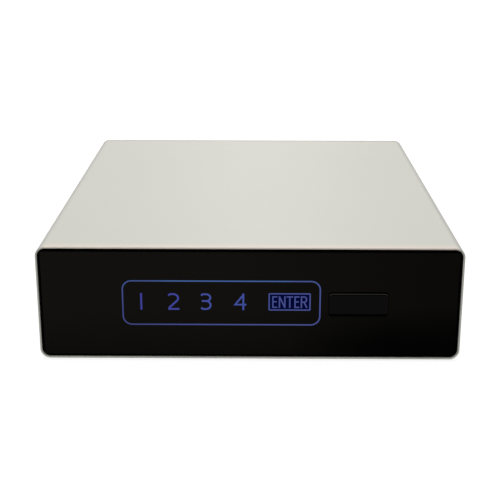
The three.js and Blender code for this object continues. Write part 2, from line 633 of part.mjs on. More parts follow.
function makeKeyLock() {
  const barrel = [roundAlongY(BARREL_RADIUS, BADGE_X, midZ, barrelFlangeFront, barrelRear),
    roundAlongY(BARREL_FLANGE_RADIUS, BADGE_X, midZ, barrelFlangeFront, barrelFlangeRear)];
  const plugBore = roundAlongY(PLUG_RADIUS + SEAT, BADGE_X, midZ, bezelFront, barrelRear + 1);
  add('key_barrel', build(barrel, [plugBore]), 'zincSteel');

  const nut = roundAlongY(NUT_ACROSS_CORNERS / 2, BADGE_X, midZ, trayWallRear + SEAT,
    trayWallRear + SEAT + NUT_THICKNESS, 6);
  const nutBore = roundAlongY(BARREL_RADIUS + SEAT, BADGE_X, midZ, trayWallRear,
    trayWallRear + NUT_THICKNESS + 1);
  add('key_barrel_nut', build([nut], [nutBore]), 'brass');

  const tail = block(BADGE_X - PLUG_TAIL_WIDTH / 2, BADGE_X + PLUG_TAIL_WIDTH / 2, plugRear - 1,
    plugRear + PLUG_TAIL, midZ - PLUG_TAIL_WIDTH / 2, midZ + PLUG_TAIL_WIDTH / 2);
  const keyway = block(BADGE_X - KEYWAY_WIDTH / 2, BADGE_X + KEYWAY_WIDTH / 2, plugFront - 1,
    plugFront + KEYWAY_DEPTH, midZ - KEYWAY_HEIGHT / 2, midZ + KEYWAY_HEIGHT / 2);
  add('key_plug', build([roundAlongY(PLUG_RADIUS, BADGE_X, midZ, plugFront, plugRear), tail],
    [keyway]), 'brass');

  const hub = roundAlongY(CAM_RADIUS, BADGE_X, midZ, camFront, camFront + CAM_THICKNESS);
  const arm = block(BADGE_X, BADGE_X + CAM_LENGTH, camFront, camFront + CAM_THICKNESS,
    midZ - CAM_RADIUS / 2, midZ + CAM_RADIUS / 2);
  const tailHole = block(BADGE_X - PLUG_TAIL_WIDTH / 2 - SEAT, BADGE_X + PLUG_TAIL_WIDTH / 2 + SEAT,
    camFront - 1, camFront + CAM_THICKNESS + 1, midZ - PLUG_TAIL_WIDTH / 2 - SEAT,
    midZ + PLUG_TAIL_WIDTH / 2 + SEAT);
  add('key_cam', build([hub, arm], [tailHole]), 'zincSteel');
}

// Electronics cover with the battery bay, the control board and the code button
const holderZ = trayTop - COVER_WALL - HOLDER_DROP - HOLDER_FLANGE - DOOR_HEIGHT / 2;
const doorBottom = holderZ - DOOR_HEIGHT / 2;
const doorHalf = COVER_WALL / 2;
const holderRear = coverInner - SEAT;
const bayHalfX = CELL_LENGTH + CELL_BUTTON_LENGTH + 1.5 * CELL_GAP;
const bayHalfZ = 2 * CELL_RADIUS + 1.5 * CELL_GAP;
const bayDepth = 2 * CELL_RADIUS + 2 * CELL_GAP;
const boardRear = coverInner - BOARD_STANDOFF - SEAT;
const boardFront = boardRear - BOARD_THICKNESS;
const bosses = [[-1, -1], [1, -1], [-1, 1], [1, 1]].map(([a, b]) => [
  BOARD_X + a * (BOARD_WIDTH / 2 - BOARD_BOSS_INSET),
  boardZ + b * (BOARD_HEIGHT / 2 - BOARD_BOSS_INSET)]);
const posts = [[CHANNEL_LEFT + POST_INSET, lockZ], [CHANNEL_RIGHT - POST_INSET, lockZ]];

function makeCover() {
  const halfWidth = trayHalf - TRAY_WALL - COVER_SIDE_GAP;
  const y0 = trayWallRear + SEAT;
  const profile = polygon([[y0, trayTop], [y0, trayTop - COVER_WALL],
    [coverInner, trayTop - COVER_WALL], [coverInner, trayFloorTop + SEAT],
    [coverRear, trayFloorTop + SEAT], [coverRear, trayTop]]);
  const shell = alongX(profile, -halfWidth, halfWidth);
  const bossRounds = bosses.map(([x, z]) => roundAlongY(BOARD_BOSS_RADIUS, x, z,
    boardRear + SEAT, coverInner + BOSS_SINK, SMALL_SIDES));
  const doorway = block(HOLDER_X - DOOR_WIDTH / 2 - DOOR_GAP, HOLDER_X + DOOR_WIDTH / 2 + DOOR_GAP,
    coverInner - 1, coverRear + 1, doorBottom - DOOR_GAP, doorBottom + DOOR_HEIGHT + DOOR_GAP);
  const buttonHole = roundAlongY(BUTTON_RADIUS + DOOR_GAP, SWITCH_X, boardZ, coverInner - 1,
    coverRear + 1, SMALL_SIDES);
  const postHoles = posts.map(([x, z]) => screwHole(x, z, coverInner - 1, coverRear + 1));
  add('module_cover', build([shell, ...bossRounds], [doorway, buttonHole, ...postHoles]),
    'blackPlastic');

  posts.forEach(([x, z], i) => {
    const post = roundAlongY(POST_RADIUS, x, z, webRear + SEAT, coverInner - SEAT, SMALL_SIDES);
    const tapped = screwHole(x, z, coverInner - SCREW_LENGTH, coverInner);
    add(`cover_post_${i + 1}`, build([post], [tapped]), 'brass');
    add(`cover_screw_${i + 1}`, screwAlongY(x, z, coverRear + SEAT, -1, SCREW_LENGTH), 'zincSteel');
  });
}

function makeBatteries() {
  const bay = block(HOLDER_X - bayHalfX, HOLDER_X + bayHalfX, holderRear - bayDepth, holderRear + 1,
    holderZ - bayHalfZ, holderZ + bayHalfZ);
  const box = block(HOLDER_X - bayHalfX - HOLDER_WALL, HOLDER_X + bayHalfX + HOLDER_WALL,
    holderRear - bayDepth - HOLDER_WALL, holderRear, holderZ - bayHalfZ - HOLDER_WALL,
    holderZ + bayHalfZ + HOLDER_WALL);
  const flange = block(HOLDER_X - DOOR_WIDTH / 2 - HOLDER_FLANGE, HOLDER_X + DOOR_WIDTH / 2
    + HOLDER_FLANGE, holderRear - HOLDER_WALL, holderRear, doorBottom - HOLDER_FLANGE,
  doorBottom + DOOR_HEIGHT + HOLDER_FLANGE);
  add('battery_holder', build([box, flange], [bay]), 'blackPlastic');

  const cellY = holderRear - bayDepth / 2;
  [[-1, -1], [1, -1], [-1, 1], [1, 1]].forEach(([a, b], i) => {
    const z = holderZ + b * (CELL_RADIUS + CELL_GAP / 2);
    const start = a < 0 ? HOLDER_X - bayHalfX + CELL_GAP : HOLDER_X + CELL_GAP / 2;
    const can = roundAlongX(CELL_RADIUS, cellY, z, start, start + CELL_LENGTH);
    const button = roundAlongX(CELL_BUTTON_RADIUS, cellY, z, start + CELL_LENGTH - 1,
      start + CELL_LENGTH + CELL_BUTTON_LENGTH, SMALL_SIDES);
    add(`battery_${i + 1}`, build([can, button]), 'cell');
  });

  // The door turns about its rounded lower edge
  const hingeY = (coverInner + coverRear) / 2;
  const door = new THREE.Shape();
  door.absarc(hingeY, doorBottom + doorHalf, doorHalf, Math.PI, 2 * Math.PI);
  door.lineTo(coverRear, doorBottom + DOOR_HEIGHT);
  door.lineTo(coverInner, doorBottom + DOOR_HEIGHT);
  add('battery_door', build([alongX(door, HOLDER_X - DOOR_WIDTH / 2, HOLDER_X + DOOR_WIDTH / 2)]),
    'blackPlastic');
}

function makeElectronics() {
  add('control_board', block(BOARD_X - BOARD_WIDTH / 2, BOARD_X + BOARD_WIDTH / 2, boardFront,
    boardRear, boardZ - BOARD_HEIGHT / 2, boardZ + BOARD_HEIGHT / 2), 'board');

  const switchRear = boardRear + SEAT + SWITCH_THICKNESS;
  add('code_switch', block(SWITCH_X - SWITCH_SIZE / 2, SWITCH_X + SWITCH_SIZE / 2,
    boardRear + SEAT, switchRear, boardZ - SWITCH_SIZE / 2, boardZ + SWITCH_SIZE / 2),
  'blackPlastic');
  const stem = roundAlongY(BUTTON_RADIUS, SWITCH_X, boardZ, switchRear + BUTTON_TRAVEL + SEAT,
    coverRear + BUTTON_PROUD, SMALL_SIDES);
  const flange = roundAlongY(BUTTON_FLANGE_RADIUS, SWITCH_X, boardZ,
    coverInner - SEAT - BUTTON_FLANGE_THICKNESS, coverInner - SEAT, SMALL_SIDES);
  add('code_button', build([stem, flange]), 'blackPlastic');

  add('keypad_ribbon', block(RIBBON_X - RIBBON_WIDTH / 2, RIBBON_X + RIBBON_WIDTH / 2,
    keypadBoardRear + SEAT, boardFront - SEAT, boardZ - RIBBON_THICKNESS / 2,
    boardZ + RIBBON_THICKNESS / 2), 'wire');
}

function makeLead(name, points) {
  const path = new THREE.CatmullRomCurve3(points.map((p) => new THREE.Vector3(...p)));
  const section = new THREE.Shape();
  section.absarc(0, 0, LEAD_RADIUS, 0, 2 * Math.PI);
  add(name, build([new THREE.ExtrudeGeometry(section, {
    steps: 10, curveSegments: 4, extrudePath: path, bevelEnabled: false,
  })]), 'wire');
}

function makeLeads() {
  const boardLeft = BOARD_X - BOARD_WIDTH / 2;
  const boardMidY = (boardFront + boardRear) / 2;
  const holderRight = HOLDER_X + bayHalfX + HOLDER_WALL;
  makeLead('battery_lead', [[holderRight + SEAT, boardMidY, holderZ],
    [holderRight + 3, boardMidY, holderZ], [boardLeft - 3, boardMidY, boardZ],
    [boardLeft - SEAT, boardMidY, boardZ]]);
  const motorTop = lockZ + MOTOR_RADIUS;
  const boardBottom = boardZ - BOARD_HEIGHT / 2;
  makeLead('motor_lead', [[0, boardMidY, motorTop + SEAT], [0, boardMidY, motorTop + 4],
    [6, boardMidY, boardBottom - 4], [6, boardMidY, boardBottom - SEAT]]);
}

makeSleeve();
makeBackPlate();
makeFeet();
makeBumper();
makeRails();
makeFront();
makeTray();
makeLiner();
makeLock();
makeStrikes();
makeKeyLock();
makeCover();
makeBatteries();
makeElectronics();
makeLeads();

export default group;
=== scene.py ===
"""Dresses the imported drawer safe: finishes, edges, lit legends, floor, lamps and camera.

Metres, +Z up, the front towards -Y. Sizes come from the frame's own boxes, and the constants
below add what only a finished surface shows.
"""

import json
import math

import bmesh
import bpy
from mathutils import Matrix, Vector


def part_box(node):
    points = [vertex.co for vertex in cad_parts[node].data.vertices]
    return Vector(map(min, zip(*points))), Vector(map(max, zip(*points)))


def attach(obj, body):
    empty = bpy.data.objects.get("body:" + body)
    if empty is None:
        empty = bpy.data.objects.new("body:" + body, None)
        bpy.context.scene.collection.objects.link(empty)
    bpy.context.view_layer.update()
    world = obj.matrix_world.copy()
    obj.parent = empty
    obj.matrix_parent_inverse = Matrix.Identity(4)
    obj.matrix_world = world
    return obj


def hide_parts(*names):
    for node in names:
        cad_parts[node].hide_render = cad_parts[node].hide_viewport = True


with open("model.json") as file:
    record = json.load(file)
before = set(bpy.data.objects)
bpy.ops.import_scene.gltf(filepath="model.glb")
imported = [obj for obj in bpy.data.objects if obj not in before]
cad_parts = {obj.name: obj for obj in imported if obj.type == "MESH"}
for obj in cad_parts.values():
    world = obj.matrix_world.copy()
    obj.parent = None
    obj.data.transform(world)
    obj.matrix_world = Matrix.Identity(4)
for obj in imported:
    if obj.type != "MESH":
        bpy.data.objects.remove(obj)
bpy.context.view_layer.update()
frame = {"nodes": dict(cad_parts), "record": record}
MM = 0.001
BACK = (0, 1, 0)
UP = (0, 0, 1)

# Camera, found by fitting the sleeve's corners and the front's outline to the photograph
CAMERA_PLACE = (0.0051, -1.0581, 0.4588)
CAMERA_PITCH = math.radians(14.775)
CAMERA_YAW = math.radians(-0.343)
CAMERA_ROLL = math.radians(0.098)
CAMERA_LENS = 65.62
CAMERA_SENSOR = 36.0
CAMERA_SHIFT_Y = -0.22

# Light: one wide lamp overhead, a weak one in front, a low one far behind that skims the top,
# and a pale surround
TOP_LAMP_PLACE = (0.0, 0.05, 2.3)
TOP_LAMP_SIZE = 1.5
TOP_LAMP_POWER = 30.0
FRONT_LAMP_PLACE = (-0.9, -2.4, 1.1)
FRONT_LAMP_SIZE = 1.4
FRONT_LAMP_POWER = 9.0
REAR_LAMP_PLACE = (0.0, 3.0, 1.9)
REAR_LAMP_SIZE = 0.5
REAR_LAMP_POWER = 6.5
LAMP_TARGET = (0.0, 0.0, 0.06)
REAR_LAMP_TARGET = (0.0, 0.0, 0.124)
SURROUND = 0.28
FLOOR_HALF = 30.0
FLOOR_COLOUR = (0.55, 0.55, 0.55)
FLOOR_GLOW = 0.84
FLOOR_FAR_GLOW = 0.93
FLOOR_FADE = (0.8, 2.5)
FLOOR_SHARE = 0.36

# Sleeve
SLEEVE_WALL = 2.0 * MM
SLEEVE_RADIUS = 10.5 * MM
SLEEVE_LEAST_RADIUS = 0.6 * MM
RIM_ROUND = 0.9 * MM
REAR_BEND = 1.6 * MM
INNER_BEND = 0.8 * MM
REAR_FLANGE = 16.0 * MM
FLANGE_EDGE = 0.4 * MM
ANCHOR_RADIUS = 4.0 * MM
ANCHOR_SPACING = (240.0 * MM, 220.0 * MM)
SCREW_HOLE_RADIUS = 2.3 * MM

# The sleeve's paint, a painted warm highlight on the upper front rim and painted shade along
# the upper bends, and the reaches over which they fade in
PAINT = (0.646, 0.640, 0.576)
RIM_HIGHLIGHT_PAINT = (0.765, 0.692, 0.604)
RIM_HIGHLIGHT_REACH_Y = (-0.2075, -0.198)
RIM_HIGHLIGHT_REACH_Z = (0.112, 0.121)
BEND_SHADE_PAINT = (0.504, 0.499, 0.455)
BEND_SHADE_REACH_X = (0.2058, 0.2098)
BEND_SHADE_REACH_Z = (0.1138, 0.1185)

# Front
PANEL_RADIUS = 7.9 * MM
PANEL_ROUND = 1.2 * MM
PANEL_ROUND_STEP = 18
PANEL_BORDER = 2.5 * MM
PANEL_FACING = 0.97
CUT_EDGE = 0.12 * MM
BADGE_RADIUS = 3.0 * MM
BADGE_EDGE = 0.35 * MM
BADGE_EDGE_SHARE = 0.3
BADGE_RIM = 0.4 * MM
BADGE_STEP = 0.45 * MM
BADGE_BEVEL = 0.7 * MM
BADGE_BEVEL_SHARES = (0.85, 0.1)
BADGE_BORDER = 2.0 * MM
BADGE_TILT = 0.2
RECESS_MARGIN = (0.5 * MM, 1.1 * MM)
RECESS_RISE = 0.3 * MM
RECESS_FLOOR = 0.3 * MM
KEY_WINDOW_RADIUS = 7.0 * MM
CUTTER_REACH = 1.0 * MM
WINDOW_DEPTH = 6.0 * MM
PLATE_LEAST_RADIUS = 0.2 * MM

# The panel's black with a painted reflection, and the reaches over which that painted reflection
# fades to the right and below, and into painted shade in the lower right corner
PANEL_BLACK_AND_REFLECTION = (0.0108, 0.0100, 0.0080)
REFLECTION_FADE_X = (-0.02, 0.19)
REFLECTION_FADE_Z = (0.012, 0.06)
SHADED_CORNER_X = (0.04, 0.14)
SHADED_CORNER_Z = (0.02, 0.06)

# Legends, in millimetres across and up the panel
KEYPAD_FRAME = (-129.1, 71.75, 40.0, 88.9)
KEYPAD_CORNER = 9.9
FRAME_LINE = 1.35
NUMERAL_LOW = 56.8
NUMERAL_HIGH = 74.9
NUMERAL_LINE = 1.9
NUMERAL_SPANS = {"1": (-110.7, -108.7), "2": (-82.4, -71.2), "3": (-49.3, -38.6),
                 "4": (-15.7, -2.9)}
ENTER_BOX = (19.0, 61.6, 56.4, 75.4)
ENTER_CORNER = 1.4
ENTER_LINE = 1.3
LETTER_LOW = 59.3
LETTER_HIGH = 72.1
LETTER_LINE = 1.35
LETTER_SPANS = [("E", 22.75, 27.9), ("N", 29.4, 36.2), ("T", 37.2, 43.8), ("E", 45.1, 50.2),
                ("R", 51.6, 58.3)]
LEAST_MITRE = 0.5
INK_DEPTH = 0.06
INK_SINK = 0.02

# Where the outline's upper side is lit more strongly, and what is left of that past its ends
CREST_Z = (0.06, 0.085)
CREST_START_X = (-0.1, -0.08)
CREST_END_X = (0.035, 0.045)
CREST_LEFT_OVER = 0.35

# Screws: the head's profile is (share of its radius, share of its height below the crown)
SCREW_HEAD_WIDTH = 3.8
SCREW_SHANK_WIDTH = 2.0
SCREW_HEAD_HEIGHT = 1.6 * MM
SCREW_HEAD = [(0.94, 1.0), (1.0, 0.9), (1.0, 0.6), (0.93, 0.3), (0.75, 0.08), (0.5, 0.0)]
SCREW_TIP = 0.8 * MM
SCREW_TIP_SHARE = 0.5
SCREW_EDGE = 0.08 * MM
BLADE_REACH = 0.62
BLADE_FOOT = 0.35
BLADE_WIDTH = 0.22
BLADE_DEPTH = 1.0 * MM
SCREW_STEPS = 36

# Other turned pieces: shares of the radius, with shares of the length or plain distances
FOOT_PROFILE = [(0.86, 0.0), (0.95, 0.12), (1.0, 0.4), (1.0, 0.85), (0.97, 1.0)]
BUMPER_TIP = [(0.72, 0.0), (0.9, 0.4 * MM), (0.98, 1.4 * MM), (1.0, 2.6 * MM)]
BUMPER_WAIST = [(0.92, 0.6), (0.92, 0.7)]
BUMPER_COLLAR = 1.5 * MM
BUTTON_FLANGE = (0.9 * MM, 1.0 * MM)
BUTTON_EDGE = 0.1 * MM
BUTTON_STEM_SHARE = 2 / 3
BUTTON_DISH = [(1.0, 0.5 * MM), (0.93, 0.12 * MM), (0.78, 0.0), (0.6, 0.1 * MM), (0.3, 0.25 * MM)]

# Felt liner, as (inset, height over its foot), then (inset, share of the edge below its top)
LINER_FOOT = [(0.4 * MM, 0.0), (0.0, 0.5 * MM)]
LINER_TOP = [(0.0, 1.0), (0.25 * MM, 0.6), (0.8 * MM, 0.2), (1.7 * MM, 0.0)]
LINER_EDGE = 1.4 * MM
LINER_CORNER = 6.0 * MM

# Thumb grip on the battery door
GRIP_RIBS = 5
GRIP_DROP = 6.0 * MM
GRIP_PITCH = 2.2 * MM
GRIP_HALF = (13.0 * MM, 0.6 * MM)
GRIP_CORNER = 0.55 * MM
GRIP_SINK = 0.1 * MM
GRIP_RISE = 0.45 * MM
GRIP_CREST = (0.98, 0.5)

WELD = 1e-6
FLAT_ANGLE = 0.5
CORNER_STEPS = 14
ARC_STEPS = 12


# Nodes and materials

def link(tree, source, target):
    tree.links.new(source, target)


def add_node(tree, kind, **properties):
    node = tree.nodes.new(kind)
    for name, value in properties.items():
        setattr(node, name, value)
    return node


def set_inputs(node, values):
    for name, value in values.items():
        node.inputs[name].default_value = value


def new_material(name, colour, roughness, metallic=0.0, specular=0.5):
    """A plain material, its node tree and its shader."""
    material = bpy.data.materials.new(name)
    material.use_nodes = True
    shader = material.node_tree.nodes["Principled BSDF"]
    set_inputs(shader, {"Base Color": (*colour, 1.0), "Roughness": roughness,
                        "Metallic": metallic, "Specular IOR Level": specular})
    return material, material.node_tree, shader


def object_noise(tree, scale, detail=3.0, stretch=(1.0, 1.0, 1.0), roughness=0.55):
    """Noise fixed to the piece, with scale in features per metre."""
    place = add_node(tree, "ShaderNodeTexCoord")
    spread = add_node(tree, "ShaderNodeMapping")
    set_inputs(spread, {"Scale": stretch})
    noise = add_node(tree, "ShaderNodeTexNoise")
    set_inputs(noise, {"Scale": scale, "Detail": detail, "Roughness": roughness})
    link(tree, place.outputs["Object"], spread.inputs["Vector"])
    link(tree, spread.outputs["Vector"], noise.inputs["Vector"])
    return noise.outputs["Fac"]


def ramp(tree, factor, low, high, start=0.3, end=0.7):
    """A colour that runs from low to high as factor runs from start to end."""
    node = add_node(tree, "ShaderNodeValToRGB")
    node.color_ramp.elements[0].position = start
    node.color_ramp.elements[0].color = (*low, 1.0)
    node.color_ramp.elements[1].position = end
    node.color_ramp.elements[1].color = (*high, 1.0)
    link(tree, factor, node.inputs["Fac"])
    return node.outputs["Color"]


def spread_value(tree, factor, low, high, start=0.3, end=0.7):
    """A value that runs from low to high as factor runs from start to end."""
    node = add_node(tree, "ShaderNodeMapRange")
    set_inputs(node, {"From Min": start, "From Max": end, "To Min": low, "To Max": high})
    link(tree, factor, node.inputs["Value"])
    return node.outputs["Result"]


def along(tree, axis, low, high, start, end):
    """A value that runs from low to high as the piece's own axis runs from start to end."""
    place = add_node(tree, "ShaderNodeTexCoord")
    axes = add_node(tree, "ShaderNodeSeparateXYZ")
    link(tree, place.outputs["Object"], axes.inputs["Vector"])
    return spread_value(tree, axes.outputs[axis], low, high, start, end)


def combined(tree, operation, *factors):
    """The factors, joined one after another by the same maths operation."""
    total = factors[0]
    for factor in factors[1:]:
        node = add_node(tree, "ShaderNodeMath", operation=operation)
        link(tree, total, node.inputs[0])
        link(tree, factor, node.inputs[1])
        total = node.outputs["Value"]
    return total


def product(tree, *factors):
    return combined(tree, "MULTIPLY", *factors)


def blended(tree, factor, colour, other):
    """The colour socket, mixed towards the plain colour other by factor."""
    mix = add_node(tree, "ShaderNodeMix", data_type="RGBA")
    link(tree, factor, mix.inputs["Factor"])
    link(tree, colour, mix.inputs[6])
    mix.inputs[7].default_value = (*other, 1.0)
    return mix.outputs[2]


def vary_colour(tree, shader, factor, low, high, start=0.3, end=0.7):
    link(tree, ramp(tree, factor, low, high, start, end), shader.inputs["Base Color"])


def vary_roughness(tree, shader, factor, low, high):
    link(tree, spread_value(tree, factor, low, high), shader.inputs["Roughness"])


def add_bump(tree, shader, height, distance, strength=1.0, before=None):
    """Bumps the shader's normal, on top of the normal before if there is one."""
    node = add_node(tree, "ShaderNodeBump")
    set_inputs(node, {"Distance": distance, "Strength": strength})
    link(tree, height, node.inputs["Height"])
    if before is not None:
        link(tree, before, node.inputs["Normal"])
    link(tree, node.outputs["Normal"], shader.inputs["Normal"])
    return node.outputs["Normal"]


def scaled(colour, factor):
    return tuple(channel * factor for channel in colour)


def powder_coat(name, colour, roughness, grain, depth, cloud):
    """Baked powder paint: a faint cloudiness, and the fine orange peel of the cured powder."""
    material, tree, shader = new_material(name, colour, roughness)
    cloudy = object_noise(tree, scale=7.0, detail=2.0)
    vary_colour(tree, shader, cloudy, scaled(colour, 1 - cloud), scaled(colour, 1 + cloud))
    peel = object_noise(tree, scale=grain, detail=2.0)
    vary_roughness(tree, shader, peel, roughness - 0.05, roughness + 0.05)
    add_bump(tree, shader, peel, depth)
    return material


def moulded_plastic(name, colour, roughness, grain=1600.0, depth=0.02 * MM, specular=0.5):
    """Moulded plastic or rubber with a fine, even grain."""
    material, tree, shader = new_material(name, colour, roughness, specular=specular)
    texture = object_noise(tree, scale=grain, detail=2.0)
    vary_colour(tree, shader, texture, scaled(colour, 0.9), scaled(colour, 1.12))
    vary_roughness(tree, shader, texture, roughness - 0.06, roughness + 0.06)
    add_bump(tree, shader, texture, depth)
    return material


def plated_metal(name, colour, roughness, stretch, tint):
    """Plated or drawn metal: fine lines along the stock and a slow change of tint."""
    material, tree, shader = new_material(name, colour, roughness, metallic=1.0)
    slow = object_noise(tree, scale=22.0)
    vary_colour(tree, shader, slow, colour, tint)
    lines = object_noise(tree, scale=1400.0, detail=2.0, stretch=stretch)
    vary_roughness(tree, shader, lines, roughness - 0.08, roughness + 0.1)
    add_bump(tree, shader, lines, distance=0.006 * MM)
    return material


def felt_finish():
    """Needled felt: short fibres in two sizes over a dark ground, with a soft sheen."""
    ground = (0.030, 0.032, 0.037)
    material, tree, shader = new_material("felt", ground, 0.95, specular=0.15)
    set_inputs(shader, {"Sheen Weight": 0.25, "Sheen Roughness": 0.5})
    fibres = object_noise(tree, scale=1500.0, detail=4.0, stretch=(1.0, 0.35, 1.0), roughness=0.7)
    clumps = object_noise(tree, scale=260.0)
    vary_colour(tree, shader, fibres, scaled(ground, 0.6), scaled(ground, 1.9))
    first = add_bump(tree, shader, clumps, distance=0.25 * MM, strength=0.6)
    add_bump(tree, shader, fibres, distance=0.3 * MM, strength=0.8, before=first)
    return material


def sleeve_finish():
    """The sleeve's powder coat, with a painted warm highlight on the upper front rim and painted
    shade along the upper bends."""
    material = powder_coat("sleeve_paint", PAINT, roughness=0.46, grain=1300.0, depth=0.02 * MM,
                           cloud=0.008)
    tree = material.node_tree
    socket = tree.nodes["Principled BSDF"].inputs["Base Color"]
    plain = socket.links[0].from_socket
    # Painted highlight: the upper front rim is coloured lighter and warmer, where it mirrors the
    # lamp overhead
    rim = product(tree, along(tree, "Y", 1.0, 0.0, *RIM_HIGHLIGHT_REACH_Y),
                  along(tree, "Z", 0.0, 1.0, *RIM_HIGHLIGHT_REACH_Z))
    colour = blended(tree, rim, plain, RIM_HIGHLIGHT_PAINT)
    # Painted shade: the upper bends along both sides are coloured darker, where they turn away
    # from the light
    upper = along(tree, "Z", 0.0, 1.0, *BEND_SHADE_REACH_Z)
    for side in (-1, 1):
        outer = along(tree, "X", 0.0, 1.0, *(side * reach for reach in BEND_SHADE_REACH_X))
        colour = blended(tree, product(tree, outer, upper), colour, BEND_SHADE_PAINT)
    link(tree, colour, socket)
    return material


def gloss_panel():
    """Smoked acrylic: near black, with a painted reflection that fades towards the right
    and the lower edge.
    """
    material, tree, shader = new_material("gloss_black", PANEL_BLACK_AND_REFLECTION, 0.12, specular=0.01)
    # Painted reflection: the colour fades to the right and downwards, and painted shade takes it
    # to black in the lower right corner
    across = along(tree, "X", 1.0, 0.5, *REFLECTION_FADE_X)
    down = along(tree, "Z", 0.7, 1.0, *REFLECTION_FADE_Z)
    corner = product(tree, along(tree, "X", 0.0, 1.0, *SHADED_CORNER_X),
                     along(tree, "Z", 1.0, 0.0, *SHADED_CORNER_Z))
    clear = spread_value(tree, corner, 1.0, 0.0, 0.0, 1.0)
    vary_colour(tree, shader, product(tree, across, down, clear), (0.0, 0.0, 0.0), PANEL_BLACK_AND_REFLECTION,
                0.0, 1.0)
    vary_roughness(tree, shader, object_noise(tree, scale=35.0, detail=4.0), 0.1, 0.16)
    return material


def painted_dark_edge_finish():
    """The acrylic's rounded border, deep black as a painted dark reflection, and painted shade
    for the badge's recess and the badge's upper and lower bands.
    """
    material, tree, shader = new_material("gloss_black_painted_dark_edge", (0.0003, 0.0003, 0.0003), 0.1,
                                          specular=0.004)
    vary_roughness(tree, shader, object_noise(tree, scale=60.0), 0.08, 0.14)
    return material


def lit_ink(name, left, right, start, end, crest=None):
    """Back-lit legend: its light drifts from left to right, and to crest along the upper side."""
    material, tree, shader = new_material(name, (0.004, 0.004, 0.008), 0.4, specular=0.02)
    colour = ramp(tree, along(tree, "X", 0.0, 1.0, start, end), left, right, 0.0, 1.0)
    if crest:
        upper = product(tree, along(tree, "Z", 0.0, 1.0, *CREST_Z),
                        along(tree, "X", CREST_LEFT_OVER, 1.0, *CREST_START_X),
                        along(tree, "X", 1.0, CREST_LEFT_OVER, *CREST_END_X))
        colour = blended(tree, upper, colour, crest)
    link(tree, colour, shader.inputs["Emission Color"])
    set_inputs(shader, {"Emission Strength": 1.0})
    return material


def lit_ground(name, glow):
    """The dark ground of a lit key, with a trace of the light behind it."""
    material, _, shader = new_material(name, (0.0, 0.0, 0.006), 0.4, specular=0.01)
    set_inputs(shader, {"Emission Color": (*glow, 1.0), "Emission Strength": 1.0})
    return material


def circuit_board():
    """Solder mask over copper, with the traces as slightly lighter, raised patches."""
    material, tree, shader = new_material("circuit_board", (0.008, 0.08, 0.028), 0.35)
    copper = object_noise(tree, scale=240.0, detail=0.0, stretch=(1.0, 1.0, 0.15))
    vary_colour(tree, shader, copper, (0.006, 0.055, 0.02), (0.014, 0.12, 0.045), 0.48, 0.52)
    add_bump(tree, shader, copper, distance=0.02 * MM)
    return material


def light_guide():
    material, tree, shader = new_material("light_guide", (0.03, 0.06, 0.6), 0.2)
    texture = object_noise(tree, scale=300.0, detail=2.0)
    vary_colour(tree, shader, texture, (0.02, 0.04, 0.45), (0.04, 0.08, 0.7))
    return material


finishes = {
    "sleeve_paint": sleeve_finish(),
    "gloss_black": gloss_panel(),
    "badge_black": moulded_plastic("badge_black", (0.0052, 0.0047, 0.0048), 0.3, grain=1500.0,
                                   depth=0.01 * MM, specular=0.02),
    "black_plastic": moulded_plastic("black_plastic", (0.013, 0.013, 0.014), 0.55),
    "drawer_paint": powder_coat("drawer_paint", (0.030, 0.031, 0.034), 0.55, grain=1500.0,
                                depth=0.03 * MM, cloud=0.06),
    "zinc_steel": plated_metal("zinc_steel", (0.60, 0.62, 0.65), 0.34, (1.0, 0.03, 1.0),
                               (0.66, 0.66, 0.63)),
    "brass": plated_metal("brass", (0.72, 0.55, 0.25), 0.28, (1.0, 0.2, 1.0),
                          (0.64, 0.49, 0.24)),
    "rubber": moulded_plastic("rubber", (0.014, 0.014, 0.014), 0.85, grain=2200.0,
                              depth=0.04 * MM, specular=0.3),
    "felt": felt_finish(),
    "light_guide": light_guide(),
    "circuit_board": circuit_board(),
    "cell": moulded_plastic("cell", (0.03, 0.12, 0.28), 0.35),
    "wire": moulded_plastic("wire", (0.28, 0.012, 0.01), 0.45),
}
frame_ink = lit_ink("frame_ink", (0.047, 0.058, 0.205), (0.062, 0.076, 0.258), -0.12, -0.03,
                    crest=(0.049, 0.110, 0.302))
numeral_ink = lit_ink("numeral_ink", (0.046, 0.046, 0.285), (0.050, 0.070, 0.305), -0.1, -0.04)
key_ink = lit_ink("key_ink", (0.056, 0.074, 0.255), (0.060, 0.078, 0.270), 0.02, 0.06)
key_fill = lit_ground("key_fill", (0.0, 0.0012, 0.026))
painted_dark_edge = painted_dark_edge_finish()
# Painted highlight: a lighter finish for the badge's upper bevel, where it catches the light from
# above
painted_highlight_edge = moulded_plastic("badge_painted_highlight_edge", (0.034, 0.036, 0.032), 0.35, grain=1500.0,
                            depth=0.01 * MM, specular=0.06)
button_plastic = moulded_plastic("button_plastic", (0.45, 0.03, 0.02), 0.4)

body_of_node = {name: body for body, members in frame["record"]["behaviour"]["bodies"].items()
                for name in members}
slot_of_node = {row["node"]: row["material_slot"] for row in frame["record"]["subparts"]}


# Mesh helpers

def new_piece(name, bm):
    """A smooth-shaded object made of the bmesh, which is then freed."""
    bmesh.ops.recalc_face_normals(bm, faces=bm.faces)
    for face in bm.faces:
        face.smooth = True
    mesh = bpy.data.meshes.new(name)
    bm.to_mesh(mesh)
    bm.free()
    piece = bpy.data.objects.new(name, mesh)
    bpy.context.scene.collection.objects.link(piece)
    return piece


def settle(piece, slot, *stands_for, body=None, material=None):
    """Gives the piece its finish, and lets it stand for and ride with its CAD nodes."""
    piece.data.materials.clear()
    piece.data.materials.append(material or finishes[slot])
    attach(piece, body or body_of_node[stands_for[0]])
    if stands_for:
        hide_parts(*stands_for)


